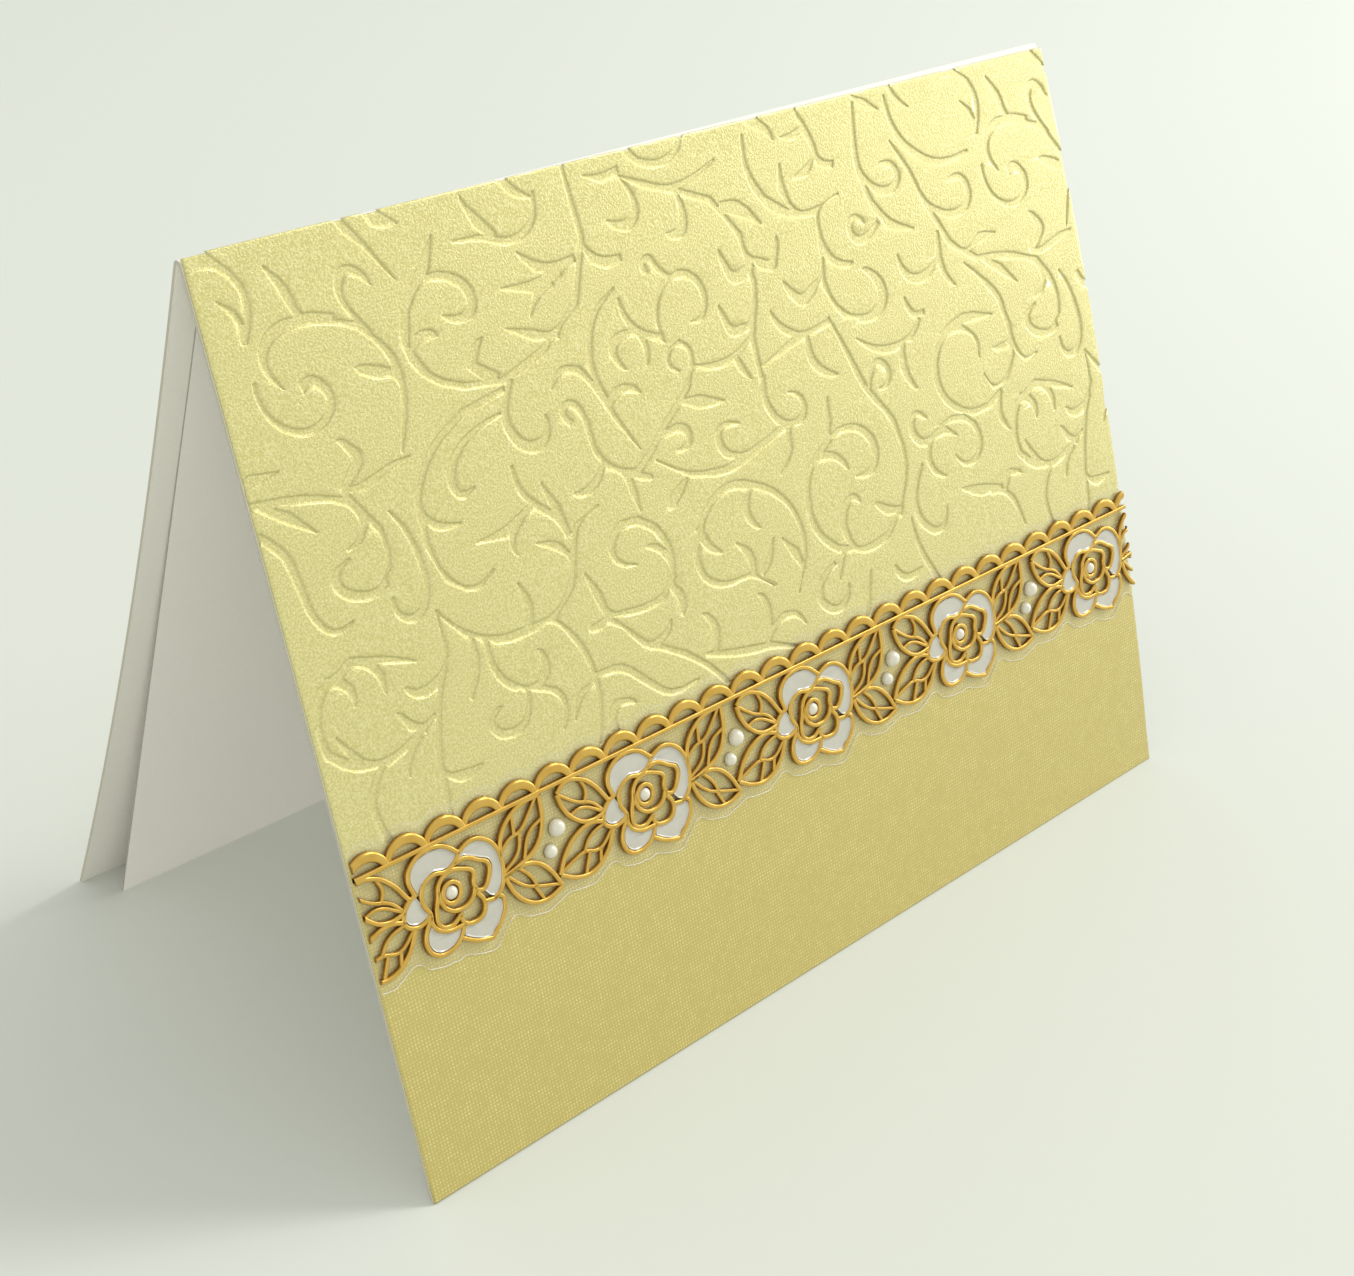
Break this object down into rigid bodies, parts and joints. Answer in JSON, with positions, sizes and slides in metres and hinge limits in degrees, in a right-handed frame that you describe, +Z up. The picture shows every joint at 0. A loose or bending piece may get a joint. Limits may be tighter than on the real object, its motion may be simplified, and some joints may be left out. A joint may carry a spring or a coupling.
{
  "type": "greeting card",
  "caption": "Tent-fold greeting card that stands on its free edges, with a debossed gold front sheet, a rose border strip and a white insert leaf",
  "frame": {"origin": "on the floor, in the middle of the card's footprint", "axes": "+X along the fold, to the right as seen from the front; -Y to the front; +Z up"},
  "size_m": [0.1396, 0.0774, 0.1009],
  "materials": {
    "white_card": "smooth uncoated white cardstock",
    "gold_paper": "pearlescent gold paper with a linen grain",
    "white_paper": "plain white writing paper",
    "clear_film": "clear self-adhesive film",
    "gold_line": "raised glossy gold",
    "white_enamel": "glossy pearly white",
    "pearl": "pearl white"
  },
  "bodies": {
    "root": {"card_base": "white_card", "gold_sheet": "gold_paper", "insert_leaf": "white_paper", "strip_film": "clear_film", "strip_lines": "gold_line", "strip_petals": "white_enamel", "strip_pearls": "pearl"}
  },
  "joints": []
}
